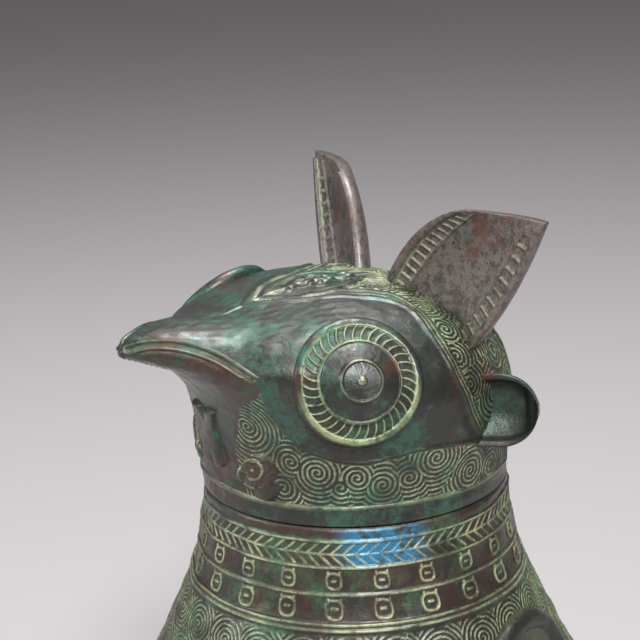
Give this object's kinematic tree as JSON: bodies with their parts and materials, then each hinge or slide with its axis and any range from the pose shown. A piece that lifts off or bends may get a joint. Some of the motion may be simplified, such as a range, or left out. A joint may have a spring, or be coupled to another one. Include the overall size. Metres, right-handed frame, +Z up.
{
  "type": "bronze owl-shaped ritual wine vessel",
  "caption": "Cast bronze wine vessel shaped as an owl: hollow body on two legs and a tail, with a lift-off head lid with beak, horns and eyes.",
  "frame": {"origin": "on the floor under the axis of the neck", "axes": "+Z up along the neck, the bird faces -Y, and left and right in the names are as seen from the front: right is +X"},
  "size_m": [0.157, 0.157, 0.257],
  "materials": {
    "body_bronze": "dark bronze with green patina",
    "head_bronze": "dark bronze with green and red patina",
    "horn_bronze": "worn grey bronze"
  },
  "bodies": {
    "vessel": {"vessel_body": "body_bronze", "leg_left": "body_bronze", "leg_right": "body_bronze", "tail": "body_bronze"},
    "lid": {"lid_head": "head_bronze", "eye_left": "head_bronze", "eye_right": "head_bronze", "ear_left": "head_bronze", "ear_right": "head_bronze", "horn_left": "horn_bronze", "horn_right": "horn_bronze"}
  },
  "joints": [
    {"name": "lid_lift", "type": "slide", "parent": "vessel", "child": "lid", "axis": [0, 0, 1], "range_m": [0, 0.12]}
  ]
}
